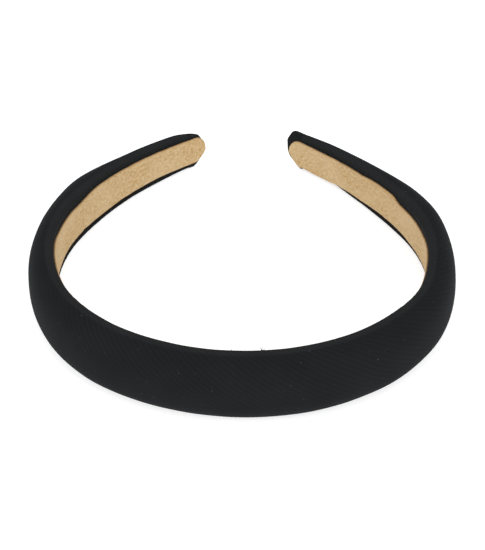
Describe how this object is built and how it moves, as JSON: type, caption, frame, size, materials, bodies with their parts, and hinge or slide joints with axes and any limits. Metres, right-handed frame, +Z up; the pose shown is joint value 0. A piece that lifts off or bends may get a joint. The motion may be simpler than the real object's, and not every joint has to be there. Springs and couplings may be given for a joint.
{
  "type": "padded headband",
  "caption": "Padded fabric headband that springs open over the head, with a tapering crowned band, a suede lining inside and rounded tips.",
  "frame": {"origin": "middle of the bounding box, on the surface that the band lies on", "axes": "+X from the left arm to the right arm, +Y from the crown to the tips, +Z up from the surface that the band lies on"},
  "size_m": [0.1444, 0.1313, 0.0258],
  "materials": {
    "cover_cloth": "matte black cloth with a very fine diagonal twill",
    "lining_suede": "tan suede-like cloth with a short mottled nap",
    "core_plastic": "moulded natural plastic",
    "pad_foam": "open-cell foam",
    "tape": "double-sided tape",
    "glue": "set hot-melt glue"
  },
  "bodies": {
    "crown": {"lining_crown": "lining_suede", "lining_glue_crown": "glue", "core_crown": "core_plastic", "foam_tape_crown": "tape", "foam_crown": "pad_foam", "cover_crown": "cover_cloth"},
    "left_shoulder": {"lining_left_shoulder": "lining_suede", "lining_glue_left_shoulder": "glue", "core_left_shoulder": "core_plastic", "foam_tape_left_shoulder": "tape", "foam_left_shoulder": "pad_foam", "cover_left_shoulder": "cover_cloth"},
    "left_arm": {"lining_left_arm": "lining_suede", "lining_glue_left_arm": "glue", "core_left_arm": "core_plastic", "foam_tape_left_arm": "tape", "foam_left_arm": "pad_foam", "cover_left_arm": "cover_cloth", "left_tip_fold": "cover_cloth"},
    "right_shoulder": {"lining_right_shoulder": "lining_suede", "lining_glue_right_shoulder": "glue", "core_right_shoulder": "core_plastic", "foam_tape_right_shoulder": "tape", "foam_right_shoulder": "pad_foam", "cover_right_shoulder": "cover_cloth"},
    "right_arm": {"lining_right_arm": "lining_suede", "lining_glue_right_arm": "glue", "core_right_arm": "core_plastic", "foam_tape_right_arm": "tape", "foam_right_arm": "pad_foam", "cover_right_arm": "cover_cloth", "right_tip_fold": "cover_cloth"}
  },
  "joints": [
    {"name": "left_crown_bend", "type": "hinge", "parent": "crown", "child": "left_shoulder", "pos_m": [-0.03437, -0.048, 0.01293], "axis": [0, 0.0441, 0.999], "range_deg": [-4, 18], "stiffness_Nm_per_rad": 0.25},
    {"name": "left_shoulder_bend", "type": "hinge", "parent": "left_shoulder", "child": "left_arm", "pos_m": [-0.06486, 0.0011, 0.01076], "axis": [0, 0.0441, 0.999], "range_deg": [-2.5, 11], "stiffness_Nm_per_rad": 0.17},
    {"name": "right_crown_bend", "type": "hinge", "parent": "crown", "child": "right_shoulder", "pos_m": [0.03437, -0.048, 0.01293], "axis": [0, -0.0441, -0.999], "range_deg": [-4, 18], "stiffness_Nm_per_rad": 0.25},
    {"name": "right_shoulder_bend", "type": "hinge", "parent": "right_shoulder", "child": "right_arm", "pos_m": [0.06486, 0.0011, 0.01076], "axis": [0, -0.0441, -0.999], "range_deg": [-2.5, 11], "stiffness_Nm_per_rad": 0.17}
  ],
  "couplings": [
    {"joint": "left_shoulder_bend", "follows": "left_crown_bend", "ratio": 0.6},
    {"joint": "right_shoulder_bend", "follows": "right_crown_bend", "ratio": 0.6}
  ]
}
